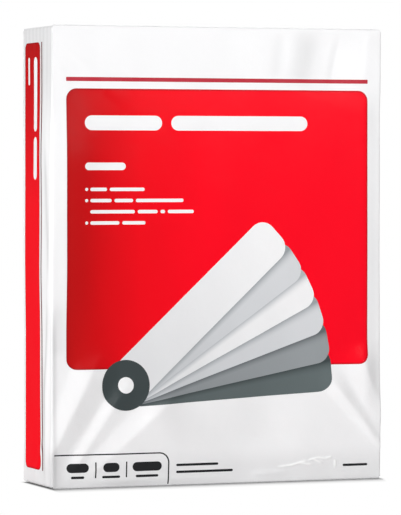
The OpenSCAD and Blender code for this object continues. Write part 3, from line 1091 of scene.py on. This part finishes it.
# %% Floor
FLOOR_SIZE = 6000.0
FOOT_EDGES = [((1, 0), (RIGHT, 0), 7, 0), ((-1, 0), (LEFT, 0), 8, 4),
              ((0, -1), (0, FRONT), 1, 0), ((0, 1), (0, REAR), 8, 0),
              ((0.935, -0.354), (RIGHT, FRONT), 9, 0), ((-0.935, 0.354), (LEFT, REAR), 9, 0)]
SHADE_STOPS = [(0, 1.0), (5, 0.7), (13, 0.2), (24, 0.0)]


def chained(tree, operation, parts):
    """What a step of arithmetic gives when it takes in the parts one after another."""
    result, *others = parts
    for part in others:
        result = add_node(tree, "Math", {"operation": operation}, {0: result, 1: part})
    return result


def seen_directly(tree):
    """1 for rays from the camera, in a reflection and through glass, 0 for light that spreads."""
    path = add_node(tree, "LightPath").outputs
    rays = [path["Is Camera Ray"], path["Is Glossy Ray"], path["Is Transmission Ray"]]
    return chained(tree, "MAXIMUM", rays)


def distance_out(tree, place):
    """How far a place is from the pack's foot. An edge is (outward, point, pace, start), in mm,
    and the distance is the largest, over the edges, of start plus pace times how far the place
    lies outward of the point."""
    outs = []
    for outward, point, pace, start in FOOT_EDGES:
        along = add_node(tree, "VectorMath", {
            "operation": "DOT_PRODUCT", 1: (pace * outward[0], pace * outward[1], 0)}, {0: place})
        offset = (start - pace * np.dot(outward, point)) * MM
        outs.append(add_node(tree, "Math", {"operation": "ADD", 1: offset}, {0: along.outputs["Value"]}))
    return chained(tree, "MAXIMUM", outs)


def shading_share(tree, far):
    """The share of the floor's own shading that shows at a distance. It falls from one
    (distance in mm, share) stop to the next in soft steps, which are added up."""
    steps = [add_node(tree, "MapRange", {
        "From Min": start * MM, "From Max": end * MM, "To Min": most - least, "To Max": 0.0,
        "interpolation_type": "SMOOTHSTEP"}, {"Value": far})
        for (start, most), (end, least) in zip(SHADE_STOPS[:-1], SHADE_STOPS[1:])]
    return chained(tree, "ADD", steps)


def floor_material(name):
    """White where it is seen directly, and matt paint near the pack and for light that spreads."""
    material = bpy.data.materials.new(name)
    tree = empty_tree(material)
    place = add_node(tree, "TexCoord").outputs["Object"]
    shaded = shading_share(tree, distance_out(tree, place))
    plain = add_node(tree, "Math", {"operation": "SUBTRACT", 0: 1.0}, {1: shaded})
    share = add_node(tree, "Math", {"operation": "MULTIPLY"}, {0: plain, 1: seen_directly(tree)})
    paint = add_node(tree, "BsdfDiffuse", {"Color": colour("#bebebe")})
    white = add_node(tree, "Emission", {"Color": colour("#ffffff")})
    mix = add_node(tree, "MixShader", links={0: share, 1: paint, 2: white})
    add_node(tree, "OutputMaterial", links={"Surface": mix})
    return material


corners = np.array([[-1, -1, 0], [1, -1, 0], [1, 1, 0], [-1, 1, 0]], float) * FLOOR_SIZE / 2
floor = add_mesh("floor", corners, np.array([[0, 1, 2, 3]]))
floor.data.materials.append(floor_material("pale floor"))
print("the floor's shade ends", SHADE_STOPS[-1][0], "mm in front of the pack")

# %% World
WORLD_LEVEL = 0.17
world = bpy.data.worlds.new("plain light")
bpy.context.scene.world = world
tree = empty_tree(world)
dim = add_node(tree, "Background", {"Color": colour("#ffffff"), "Strength": WORLD_LEVEL})
bright = add_node(tree, "Background", {"Color": colour("#ffffff")})
mix = add_node(tree, "MixShader", links={0: seen_directly(tree), 1: dim, 2: bright})
add_node(tree, "OutputWorld", links={"Surface": mix})
print("the world lights the pack at", WORLD_LEVEL)

# %% [markdown]
# ## Lamps
#
# Four soft boxes light the pack. The main one stands far to the left, about as high as the pack,
# so that its light rakes across the front and brings out the folds. A weak one near the right of
# the front brightens its upper part, another in front fills the shades, and the last stands
# behind, for the rear and the top.

# %% Soft boxes
def add_soft_box(name, place, aim, size, power):
    """A square area lamp, its size and places in millimetres."""
    lamp = add_object(name, bpy.data.lights.new(name, "AREA"))
    lamp.data.size = size * MM
    lamp.data.energy = power
    look_from(lamp, place, aim)
    print(name, "of", power, "W")


middle = (0, 0, 150)
add_soft_box("main light", (-1850, -860, 300), middle, 480, 31.5)
add_soft_box("near light", (215, -670, 460), (50, 0, 220), 420, 2.25)
add_soft_box("front light", (-150, -1600, 450), middle, 250, 2.6)
add_soft_box("back light", (400, 900, 1200), middle, 600, 13)
bpy.context.scene.view_settings.view_transform = "Standard"
